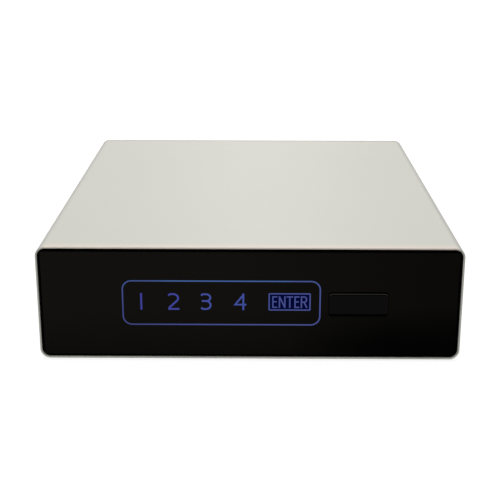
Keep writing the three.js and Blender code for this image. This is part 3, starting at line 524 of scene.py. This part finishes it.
def second_finish(piece, material, chooses):
    """Gives the faces that chooses(face) picks a finish of their own."""
    piece.data.materials.append(material)
    index = len(piece.data.materials) - 1
    for face in piece.data.polygons:
        if chooses(face):
            face.material_index = index


def weigh_normals(piece):
    """Keeps flat faces flat under smooth shading."""
    modifier = piece.modifiers.new("flat_faces", "WEIGHTED_NORMAL")
    modifier.mode = "FACE_AREA"
    modifier.weight = 100
    modifier.keep_sharp = False


def soften(piece, width, segments=2, angle=30.0):
    """Rounds the edges that turn by more than angle and keeps the flat faces flat."""
    modifier = piece.modifiers.new("soft_edges", "BEVEL")
    modifier.width = width
    modifier.segments = segments
    modifier.limit_method = "ANGLE"
    modifier.angle_limit = math.radians(angle)
    modifier.use_clamp_overlap = True
    weigh_normals(piece)


def settle_modifiers(piece):
    """Makes the piece's evaluated mesh its own."""
    graph = bpy.context.evaluated_depsgraph_get()
    made = bpy.data.meshes.new_from_object(piece.evaluated_get(graph))
    old = piece.data
    piece.modifiers.clear()
    piece.data = made
    bpy.data.meshes.remove(old)


def carve(piece, cutters):
    """Cuts the cutters out of the piece and deletes them."""
    for cutter in cutters:
        modifier = piece.modifiers.new("cut", "BOOLEAN")
        modifier.operation = "DIFFERENCE"
        modifier.solver = "EXACT"
        modifier.object = cutter
    settle_modifiers(piece)
    for cutter in cutters:
        bpy.data.objects.remove(cutter)


def rounded_rectangle(half_width, half_height, radius, steps=CORNER_STEPS):
    """The outline's points, counterclockwise from the right, round the origin."""
    points = []
    for quarter, (sx, sz) in enumerate([(1, 1), (-1, 1), (-1, -1), (1, -1)]):
        for step in range(steps + 1):
            angle = (quarter + step / steps) * math.pi / 2
            points.append((sx * (half_width - radius) + radius * math.cos(angle),
                           sz * (half_height - radius) + radius * math.sin(angle)))
    return points


def loop_along_y(bm, outline, centre, y):
    return [bm.verts.new((centre[0] + x, y, centre[1] + z)) for x, z in outline]


def inset_loops(bm, half_width, half_height, radius, least, centre, stations):
    """A rounded rectangle at each (inset, y), with corners no tighter than least."""
    return [loop_along_y(bm, rounded_rectangle(half_width - inset, half_height - inset,
                                               max(radius - inset, least)), centre, y)
            for inset, y in stations]


def bridge(bm, loops, closed=False):
    """Quads between neighbouring loops, and between the last and the first if closed."""
    pairs = list(zip(loops, loops[1:]))
    if closed:
        pairs.append((loops[-1], loops[0]))
    for first, second in pairs:
        for i in range(len(first)):
            j = (i + 1) % len(first)
            bm.faces.new((first[i], first[j], second[j], second[i]))


def loft(bm, loops):
    """Quads between neighbouring loops, with a face over each end."""
    bridge(bm, loops)
    bm.faces.new(loops[0])
    bm.faces.new(loops[-1])


def quarter_arc(centre, radius, start, steps=5):
    """(inset, y) points of a quarter circle that begins at the angle start, in degrees."""
    return [(centre[0] + radius * math.cos(math.radians(start + 90 * k / steps)),
             centre[1] + radius * math.sin(math.radians(start + 90 * k / steps)))
            for k in range(steps + 1)]


def middle(node):
    low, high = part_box(node)
    return (low + high) / 2


def front_view(node):
    """The node's box, and its middle and half size across and up."""
    low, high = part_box(node)
    return (low, high, ((low.x + high.x) / 2, (low.z + high.z) / 2),
            (high.x - low.x) / 2, (high.z - low.z) / 2)


def plate(name, half_width, half_height, radius, centre, stations):
    """A plate lofted along Y through stations of (inset, y), closed at both ends."""
    bm = bmesh.new()
    loft(bm, inset_loops(bm, half_width, half_height, radius, PLATE_LEAST_RADIUS, centre,
                         stations))
    return new_piece(name, bm)


def turn_to(axis):
    """The rotation that carries +Z to the axis."""
    return Vector(UP).rotation_difference(Vector(axis)).to_matrix()


def cylinder(name, radius, axis, centre, length, steps=48):
    bm = bmesh.new()
    bmesh.ops.create_cone(bm, cap_ends=True, segments=steps, radius1=radius, radius2=radius,
                          depth=length)
    bmesh.ops.transform(bm, verts=bm.verts,
                        matrix=Matrix.Translation(centre) @ turn_to(axis).to_4x4())
    return new_piece(name, bm)


def lathe(name, profile, axis, foot, steps=48):
    """Turns a profile of (radius, distance along the axis from foot) round the axis."""
    bm = bmesh.new()
    turn = turn_to(axis)
    rings = []
    for radius, distance in profile:
        ring = []
        for k in range(steps):
            angle = 2 * math.pi * k / steps
            spoke = Vector((radius * math.cos(angle), radius * math.sin(angle), distance))
            ring.append(bm.verts.new(Vector(foot) + turn @ spoke))
        rings.append(ring)
    loft(bm, rings)
    return new_piece(name, bm)


def refine(node, width, segments=2):
    """A copy of the CAD node's solid with welded, rounded edges, which stands for it."""
    source = frame["nodes"][node].data
    mesh = bpy.data.meshes.new(node)
    mesh.from_pydata([v.co for v in source.vertices], [],
                     [list(p.vertices) for p in source.polygons])
    bm = bmesh.new()
    bm.from_mesh(mesh)
    bpy.data.meshes.remove(mesh)
    bmesh.ops.remove_doubles(bm, verts=bm.verts, dist=WELD)
    bmesh.ops.dissolve_limit(bm, angle_limit=math.radians(FLAT_ANGLE), verts=bm.verts,
                             edges=bm.edges)
    piece = new_piece(f"{node}_finished", bm)
    soften(piece, width, segments)
    settle(piece, slot_of_node[node], node)


# Sleeve

def make_sleeve():
    """The rolled sleeve: its rounded front rim, its wall and the flange turned in at the rear."""
    low, high, centre, half_width, half_height = front_view("outer_casing")
    rim_y = low.y + RIM_ROUND
    flange_y = high.y - SLEEVE_WALL
    inner_bend = (SLEEVE_WALL + INNER_BEND, flange_y - INNER_BEND)
    hem = REAR_FLANGE - FLANGE_EDGE
    stations = [(-inset, 2 * rim_y - y)
                for inset, y in quarter_arc((-RIM_ROUND, rim_y), RIM_ROUND, 0)]
    stations += quarter_arc((SLEEVE_WALL - RIM_ROUND, rim_y), RIM_ROUND, -90)
    stations.append((SLEEVE_WALL, flange_y - INNER_BEND))
    stations += [(2 * inner_bend[0] - inset, y)
                 for inset, y in quarter_arc(inner_bend, INNER_BEND, 0)]
    stations += quarter_arc((hem, flange_y + FLANGE_EDGE), FLANGE_EDGE, -90, 2)
    stations += quarter_arc((hem, high.y - FLANGE_EDGE), FLANGE_EDGE, 0, 2)
    stations += quarter_arc((REAR_BEND, high.y - REAR_BEND), REAR_BEND, 90)
    bm = bmesh.new()
    bridge(bm, inset_loops(bm, half_width, half_height, SLEEVE_RADIUS, SLEEVE_LEAST_RADIUS,
                           centre, stations), closed=True)
    sleeve = new_piece("rolled_sleeve", bm)
    cutters = [cylinder("anchor_cutter", ANCHOR_RADIUS, UP,
                        (sx * ANCHOR_SPACING[0] / 2, sy * ANCHOR_SPACING[1] / 2, low.z),
                        4 * SLEEVE_WALL, 40) for sx in (-1, 1) for sy in (-1, 1)]
    for node in numbered("back_plate_screw", 4):
        place = middle(node)
        cutters.append(cylinder("screw_cutter", SCREW_HOLE_RADIUS, BACK,
                                (place.x, high.y, place.z), 4 * SLEEVE_WALL, 24))
    carve(sleeve, cutters)
    weigh_normals(sleeve)
    settle(sleeve, "sleeve_paint", "outer_casing")


# Front panel and badge

def make_panel():
    """The acrylic front, with the badge's recess and the window to the key cut into it."""
    low, high, centre, half_width, half_height = front_view("front_panel")
    turns = [math.radians(a) for a in range(0, 91, PANEL_ROUND_STEP)]
    stations = [(PANEL_ROUND * (1 - math.sin(a)), high.y - PANEL_ROUND * (1 - math.cos(a)))
                for a in turns]
    stations += [(PANEL_ROUND * (1 - math.cos(a)), low.y + PANEL_ROUND * (1 - math.sin(a)))
                 for a in turns]
    stations.append((PANEL_BORDER, low.y))
    panel = plate("acrylic_panel", half_width, half_height, PANEL_RADIUS, centre, stations)
    _, badge_high, _, badge_half_width, badge_half_height = front_view("badge_cover")
    badge = middle("badge_cover")
    recess = plate("recess_cutter", badge_half_width + RECESS_MARGIN[0],
                   badge_half_height + RECESS_MARGIN[1], BADGE_RADIUS + RECESS_MARGIN[0],
                   (badge.x, badge.z + RECESS_RISE),
                   [(0.0, low.y - CUTTER_REACH), (0.0, badge_high.y + RECESS_FLOOR)])
    window = cylinder("window_cutter", KEY_WINDOW_RADIUS, BACK, (badge.x, high.y, badge.z),
                      WINDOW_DEPTH)
    carve(panel, [recess, window])
    soften(panel, CUT_EDGE, angle=40.0)
    settle(panel, "gloss_black", "front_panel")
    # Painted dark reflection and shade: the rounded border, the recess and the faces behind the
    # front get the deep black edge finish
    second_finish(panel, painted_dark_edge,
                  lambda face: abs(face.center.x - centre[0]) > half_width - PANEL_BORDER
                  or abs(face.center.z - centre[1]) > half_height - PANEL_BORDER
                  or abs(face.normal.y) < PANEL_FACING or face.center.y > low.y + PANEL_ROUND)


def make_badge():
    """The bare badge plate: a rounded rim, and a bevelled field that stands proud of it."""
    low, high, centre, half_width, half_height = front_view("badge_cover")
    rim_front = low.y + BADGE_STEP
    corner = BADGE_EDGE * BADGE_EDGE_SHARE
    stations = [(0.0, high.y), (0.0, rim_front + BADGE_EDGE), (corner, rim_front + corner),
                (BADGE_EDGE, rim_front), (BADGE_RIM, rim_front),
                (BADGE_RIM + BADGE_BEVEL * BADGE_BEVEL_SHARES[0],
                 low.y + BADGE_STEP * BADGE_BEVEL_SHARES[1]),
                (BADGE_RIM + BADGE_BEVEL, low.y), (BADGE_BORDER, low.y)]
    badge = plate("badge_plate", half_width, half_height, BADGE_RADIUS, centre, stations)
    weigh_normals(badge)
    settle(badge, "badge_black", "badge_cover")
    # Painted shade: the badge's upper and lower bands get the deep black edge finish
    second_finish(badge, painted_dark_edge,
                  lambda face: abs(face.center.z - centre[1]) > half_height - BADGE_BORDER)
    # Painted highlight: the upper bevel and the upper left corner get the lighter finish
    second_finish(badge, painted_highlight_edge, lambda face: WELD < face.center.y - low.y < BADGE_STEP - WELD
                  and (face.normal.z > BADGE_TILT or face.normal.x < -BADGE_TILT
                       and face.center.z > high.z - 2 * BADGE_RADIUS))


# Legends: every line is a thin ribbon that stands a hair proud of the panel

def ribbon(bm, points, width, front, closed=False):
    """A flat stroke along points of (x, z) in millimetres, with mitred joints."""
    count = len(points)
    back = front + INK_DEPTH + INK_SINK
    rings = []
    for i, (x, z) in enumerate(points):
        here = Vector((x, z))
        before = Vector(points[(i - 1) % count]) if closed or i > 0 else None
        after = Vector(points[(i + 1) % count]) if closed or i < count - 1 else None
        arriving = (here - before).normalized() if before else (after - here).normalized()
        leaving = (after - here).normalized() if after else arriving
        bend = (arriving + leaving).normalized()
        side = Vector((-bend.y, bend.x))
        reach = width / 2 / max(side.dot(Vector((-arriving.y, arriving.x))), LEAST_MITRE)
        left, right = here + side * reach, here - side * reach
        rings.append([bm.verts.new((a.x * MM, y * MM, a.y * MM))
                      for a, y in ((left, front), (right, front), (right, back), (left, back))])
    if closed:
        bridge(bm, rings, closed=True)
    else:
        loft(bm, rings)


def lengthened(before, end, extra):
    """The point extra beyond end, in line with the point before it."""
    reach = math.dist(before, end)
    return tuple(e + (e - b) / reach * extra for b, e in zip(before, end))


def arc_points(cx, cz, rx, rz, start, end):
    angles = [math.radians(start + (end - start) * k / ARC_STEPS) for k in range(ARC_STEPS + 1)]
    return [(cx + rx * math.cos(a), cz + rz * math.sin(a)) for a in angles]


# Each sign's strokes in a unit cell, as lists of points along the middle of the line
GLYPHS = {
    "1": [[(0.5, 0.0), (0.5, 1.0)]],
    "2": [[(0.0, 0.95), (0.12, 1.0), *arc_points(0.48, 0.73, 0.5, 0.27, 90, -38),
           (0.02, 0.1), (0.0, 0.0), (1.0, 0.0)]],
    "3": [[(0.0, 0.95), (0.12, 1.0), (0.5, 1.0), *arc_points(0.5, 0.77, 0.47, 0.23, 80, -90),
           (0.1, 0.54)],
          [(0.5, 0.54), *arc_points(0.5, 0.27, 0.5, 0.27, 80, -90), (0.12, 0.0), (0.0, 0.06)]],
    "4": [[(0.76, 0.0), (0.76, 1.0)], [(0.7, 0.905), (0.0, 0.31), (0.95, 0.31)]],
    "E": [[(1.0, 1.0), (0.0, 1.0), (0.0, 0.0), (1.0, 0.0)], [(0.0, 0.53), (0.85, 0.53)]],
    "N": [[(0.0, 0.0), (0.0, 1.0)], [(0.05, 0.965), (0.95, 0.035)], [(1.0, 0.0), (1.0, 1.0)]],
    "T": [[(0.0, 1.0), (1.0, 1.0)], [(0.5, 1.0), (0.5, 0.0)]],
    "R": [[(0.0, 0.0), (0.0, 1.0), *arc_points(0.55, 0.75, 0.4, 0.25, 90, -90), (0.0, 0.5)],
          [(0.52, 0.48), (0.98, 0.02)]],
}


def draw_glyph(bm, sign, span, low, high, line, front):
    """Draws the sign within span and height, with each stroke's ends square past its points."""
    half = line / 2
    left, right = span[0] + half, span[1] - half
    bottom, top = low + half, high - half
    for stroke in GLYPHS[sign]:
        points = [(left + x * (right - left), bottom + z * (top - bottom)) for x, z in stroke]
        first = lengthened(points[1], points[0], half)
        last = lengthened(points[-2], points[-1], half)
        ribbon(bm, [first, *points[1:-1], last], line, front)


def box_outline(bounds_mm, inset, corner):
    left, right, bottom, top = bounds_mm
    centre = ((left + right) / 2, (bottom + top) / 2)
    return [(centre[0] + x, centre[1] + z) for x, z in rounded_rectangle(
        (right - left) / 2 - inset, (top - bottom) / 2 - inset, corner - inset)]


def make_legends():
    """The keypad's outline, four numerals and one boxed key, each lit from behind."""
    panel_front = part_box("front_panel")[0].y / MM
    front = panel_front - INK_DEPTH
    bm = bmesh.new()
    ribbon(bm, box_outline(KEYPAD_FRAME, FRAME_LINE / 2, KEYPAD_CORNER), FRAME_LINE, front, True)
    outline = new_piece("keypad_outline", bm)
    bm = bmesh.new()
    for sign, span in NUMERAL_SPANS.items():
        draw_glyph(bm, sign, span, NUMERAL_LOW, NUMERAL_HIGH, NUMERAL_LINE, front)
    numerals = new_piece("numerals", bm)
    bm = bmesh.new()
    key_outline = box_outline(ENTER_BOX, ENTER_LINE / 2, ENTER_CORNER)
    ribbon(bm, key_outline, ENTER_LINE, front, True)
    for sign, left, right in LETTER_SPANS:
        draw_glyph(bm, sign, (left, right), LETTER_LOW, LETTER_HIGH, LETTER_LINE, front)
    enter = new_piece("enter_key_lines", bm)
    bm = bmesh.new()
    fill = [bm.verts.new((x * MM, (panel_front - INK_DEPTH / 2) * MM, z * MM))
            for x, z in key_outline]
    rear = [bm.verts.new(v.co + Vector((0, INK_DEPTH * MM, 0))) for v in fill]
    loft(bm, [fill, rear])
    ground = new_piece("enter_key_ground", bm)
    for piece, material in ((outline, frame_ink), (numerals, numeral_ink), (enter, key_ink),
                            (ground, key_fill)):
        settle(piece, "light_guide", body="drawer", material=material)


# Fasteners, feet and other turned pieces

def cross_cutters(crown, reach):
    """Two crossed, tapered blades for the recess in a screw's head."""
    blades = []
    for turn in (0, math.pi / 2):
        bm = bmesh.new()
        bmesh.ops.create_cone(bm, cap_ends=True, segments=4, radius1=BLADE_FOOT * reach,
                              radius2=reach, depth=2 * BLADE_DEPTH)
        spin = Matrix.Rotation(turn, 4, "Z") @ Matrix.Diagonal((1.0, BLADE_WIDTH, 1.0, 1.0))
        bmesh.ops.transform(bm, verts=bm.verts,
                            matrix=Matrix.Translation(crown) @ turn_to(BACK).to_4x4() @ spin)
        blades.append(new_piece("recess_cutter", bm))
    return blades


def make_screw(node):
    """A pan-head screw that faces the back: a domed head with a cross recess on its shank."""
    low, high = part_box(node)
    centre = (low + high) / 2
    head = (high.x - low.x) / 2
    shank = head * SCREW_SHANK_WIDTH / SCREW_HEAD_WIDTH
    length = high.y - low.y
    profile = [(shank * SCREW_TIP_SHARE, 0.0), (shank, SCREW_TIP),
               (shank, length - SCREW_HEAD_HEIGHT)]
    profile += [(head * reach, length - SCREW_HEAD_HEIGHT * drop) for reach, drop in SCREW_HEAD]
    screw = lathe(f"{node}_finished", profile, BACK, (centre.x, low.y, centre.z), SCREW_STEPS)
    carve(screw, cross_cutters((centre.x, high.y, centre.z), head * BLADE_REACH))
    soften(screw, SCREW_EDGE, angle=40.0)
    settle(screw, "zinc_steel", node)


def make_foot(node):
    low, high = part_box(node)
    radius, height = (high.x - low.x) / 2, high.z - low.z
    centre = middle(node)
    profile = [(radius * reach, height * rise) for reach, rise in FOOT_PROFILE]
    foot = lathe(f"{node}_finished", profile, UP, (centre.x, centre.y, low.z))
    weigh_normals(foot)
    settle(foot, "rubber", node)


def make_bumper():
    """The rubber stop for the drawer: a rounded tip, a waist and a collar."""
    low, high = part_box("rear_bumper")
    radius, length = (high.x - low.x) / 2, high.y - low.y
    centre = middle("rear_bumper")
    profile = [(radius * reach, distance) for reach, distance in BUMPER_TIP]
    profile += [(radius * reach, length * share) for reach, share in BUMPER_WAIST]
    profile += [(radius, length - BUMPER_COLLAR), (radius, length)]
    bumper = lathe("rear_bumper_finished", profile, BACK, (centre.x, low.y, centre.z))
    weigh_normals(bumper)
    settle(bumper, "rubber", "rear_bumper")


def make_button():
    """The code button: a flange inside the cover and a stem with a dished end."""
    low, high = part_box("code_button")
    centre = middle("code_button")
    flange = (high.x - low.x) / 2
    stem = flange * BUTTON_STEM_SHARE
    length = high.y - low.y
    profile = [(flange, 0.0), (flange, BUTTON_FLANGE[0]), (stem, BUTTON_FLANGE[1])]
    profile += [(stem * reach, length - drop) for reach, drop in BUTTON_DISH]
    button = lathe("code_button_finished", profile, BACK, (centre.x, low.y, centre.z))
    soften(button, BUTTON_EDGE, angle=50.0)
    settle(button, "black_plastic", "code_button", material=button_plastic)


# Drawer

def make_liner():
    """The felt pad: flat, with softly rounded upper edges."""
    low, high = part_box("drawer_liner")
    centre = middle("drawer_liner")
    half = (high - low) / 2
    levels = [(inset, low.z + rise) for inset, rise in LINER_FOOT]
    levels += [(inset, high.z - share * LINER_EDGE) for inset, share in LINER_TOP]
    bm = bmesh.new()
    loops = []
    for inset, z in levels:
        outline = rounded_rectangle(half.x - inset, half.y - inset, LINER_CORNER, 10)
        loops.append([bm.verts.new((centre.x + x, centre.y + y, z)) for x, y in outline])
    loft(bm, loops)
    liner = new_piece("felt_liner", bm)
    weigh_normals(liner)
    settle(liner, "felt", "drawer_liner")


def make_battery_door():
    """The battery door: a plate with a ribbed thumb grip near its upper edge."""
    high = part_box("battery_door")[1]
    refine("battery_door", 0.4 * MM, 3)
    x = middle("battery_door").x
    outline = rounded_rectangle(*GRIP_HALF, GRIP_CORNER, 4)
    crest_outline = [(across * GRIP_CREST[0], up * GRIP_CREST[1]) for across, up in outline]
    bm = bmesh.new()
    for k in range(GRIP_RIBS):
        z = high.z - GRIP_DROP - k * GRIP_PITCH
        loft(bm, [loop_along_y(bm, outline, (x, z), high.y - GRIP_SINK),
                  loop_along_y(bm, crest_outline, (x, z), high.y + GRIP_RISE)])
    ribs = new_piece("battery_door_grip", bm)
    weigh_normals(ribs)
    settle(ribs, "black_plastic", body="battery_door")


def pair(name):
    return [f"{name}_left", f"{name}_right"]


def numbered(name, count):
    return [f"{name}_{i + 1}" for i in range(count)]


# How far the edges of the remaining CAD solids are rounded
REFINED = [
    (0.5 * MM, ["back_plate", "drawer_tray", "tray_rear_wall"]),
    (0.6 * MM, ["module_cover", "front_bezel"]),
    (0.4 * MM, ["battery_holder", "lock_channel"]),
    (0.35 * MM, pair("outer_rail") + pair("middle_rail") + pair("inner_rail")),
    (0.3 * MM, pair("strike")),
    (0.25 * MM, pair("lock_bolt")),
    (0.08 * MM, ["bolt_pinion"]),
    (0.5 * MM, ["lock_gearbox"]),
    (0.4 * MM, ["lock_motor"]),
    (0.25 * MM, ["key_barrel"]),
    (0.3 * MM, ["key_barrel_nut"]),
    (0.15 * MM, ["key_plug"]),
    (0.2 * MM, ["key_cam", "light_guide"]),
    (0.1 * MM, ["keypad_board", "control_board"]),
    (0.2 * MM, ["code_switch"]),
    (0.08 * MM, ["keypad_ribbon"]),
    (0.1 * MM, ["battery_lead", "motor_lead"]),
    (0.2 * MM, numbered("cover_post", 2)),
    (0.3 * MM, numbered("battery", 4)),
]


def make_object():
    make_sleeve()
    make_panel()
    make_badge()
    make_legends()
    make_liner()
    make_battery_door()
    make_button()
    for width, nodes in REFINED:
        for node in nodes:
            refine(node, width)
    for back_plate_screw, bezel_screw, foot in zip(
            numbered("back_plate_screw", 4), numbered("bezel_screw", 4), numbered("foot", 4)):
        make_screw(back_plate_screw)
        make_screw(bezel_screw)
        make_foot(foot)
    for channel_screw, cover_screw in zip(numbered("lock_channel_screw", 2),
                                          numbered("cover_screw", 2)):
        make_screw(channel_screw)
        make_screw(cover_screw)
    make_bumper()


# Floor, surround, lamps and camera

def bright_rays(tree):
    """1 for the rays that should see the pale surround as it is, and 0 for scattered light."""
    path = add_node(tree, "ShaderNodeLightPath")
    return combined(tree, "MAXIMUM", *(path.outputs[name] for name in (
        "Is Camera Ray", "Is Glossy Ray", "Is Transmission Ray")))


def make_floor():
    """A wide pale floor that reads as white and keeps a soft share of the object's shadow.

    It glows a little more far out, where the lamps no longer reach.
    """
    bm = bmesh.new()
    corners = [(-1, -1), (1, -1), (1, 1), (-1, 1)]
    bm.faces.new([bm.verts.new((x * FLOOR_HALF, y * FLOOR_HALF, 0)) for x, y in corners])
    floor = new_piece("floor", bm)
    material = bpy.data.materials.new("floor")
    material.use_nodes = True
    tree = material.node_tree
    tree.nodes.clear()
    output = add_node(tree, "ShaderNodeOutputMaterial")
    plain = add_node(tree, "ShaderNodeBsdfDiffuse")
    set_inputs(plain, {"Color": (*FLOOR_COLOUR, 1.0)})
    shaded = add_node(tree, "ShaderNodeBsdfDiffuse")
    set_inputs(shaded, {"Color": (FLOOR_SHARE, FLOOR_SHARE, FLOOR_SHARE, 1.0)})
    glow = add_node(tree, "ShaderNodeEmission")
    place = add_node(tree, "ShaderNodeTexCoord")
    distance = add_node(tree, "ShaderNodeVectorMath", operation="LENGTH")
    link(tree, place.outputs["Object"], distance.inputs[0])
    link(tree, spread_value(tree, distance.outputs["Value"], FLOOR_GLOW, FLOOR_FAR_GLOW,
                            *FLOOR_FADE), glow.inputs["Strength"])
    both = add_node(tree, "ShaderNodeAddShader")
    link(tree, shaded.outputs["BSDF"], both.inputs[0])
    link(tree, glow.outputs["Emission"], both.inputs[1])
    choice = add_node(tree, "ShaderNodeMixShader")
    link(tree, bright_rays(tree), choice.inputs["Fac"])
    link(tree, plain.outputs["BSDF"], choice.inputs[1])
    link(tree, both.outputs["Shader"], choice.inputs[2])
    link(tree, choice.outputs["Shader"], output.inputs["Surface"])
    floor.data.materials.append(material)


def make_surround():
    """A world that is white to look at and dimmer as a light."""
    world = bpy.data.worlds.new("surround")
    bpy.context.scene.world = world
    world.use_nodes = True
    tree = world.node_tree
    background = tree.nodes["Background"]
    set_inputs(background, {"Color": (1.0, 1.0, 1.0, 1.0)})
    link(tree, spread_value(tree, bright_rays(tree), SURROUND, 1.0, 0.0, 1.0),
         background.inputs["Strength"])


def make_lamp(name, place, size, power, target=LAMP_TARGET):
    data = bpy.data.lights.new(name, "AREA")
    data.energy = power
    data.size = size
    lamp = bpy.data.objects.new(name, data)
    lamp.location = place
    aim = Vector(target) - Vector(place)
    lamp.rotation_euler = aim.to_track_quat("-Z", "Y").to_euler()
    lamp.visible_camera = False
    bpy.context.scene.collection.objects.link(lamp)


def make_camera():
    data = bpy.data.cameras.new("camera")
    data.lens = CAMERA_LENS
    data.sensor_width = CAMERA_SENSOR
    data.shift_y = CAMERA_SHIFT_Y
    camera = bpy.data.objects.new("camera", data)
    bpy.context.scene.collection.objects.link(camera)
    camera.matrix_world = (Matrix.Translation(CAMERA_PLACE) @ Matrix.Rotation(-CAMERA_YAW, 4, "Z")
                           @ Matrix.Rotation(math.pi / 2 - CAMERA_PITCH, 4, "X")
                           @ Matrix.Rotation(CAMERA_ROLL, 4, "Z"))
    bpy.context.scene.camera = camera


def make_stage():
    make_floor()
    make_surround()
    make_lamp("top_lamp", TOP_LAMP_PLACE, TOP_LAMP_SIZE, TOP_LAMP_POWER)
    make_lamp("front_lamp", FRONT_LAMP_PLACE, FRONT_LAMP_SIZE, FRONT_LAMP_POWER)
    make_lamp("rear_lamp", REAR_LAMP_PLACE, REAR_LAMP_SIZE, REAR_LAMP_POWER, REAR_LAMP_TARGET)
    make_camera()
    bpy.context.scene.view_settings.view_transform = "Standard"


make_object()
make_stage()
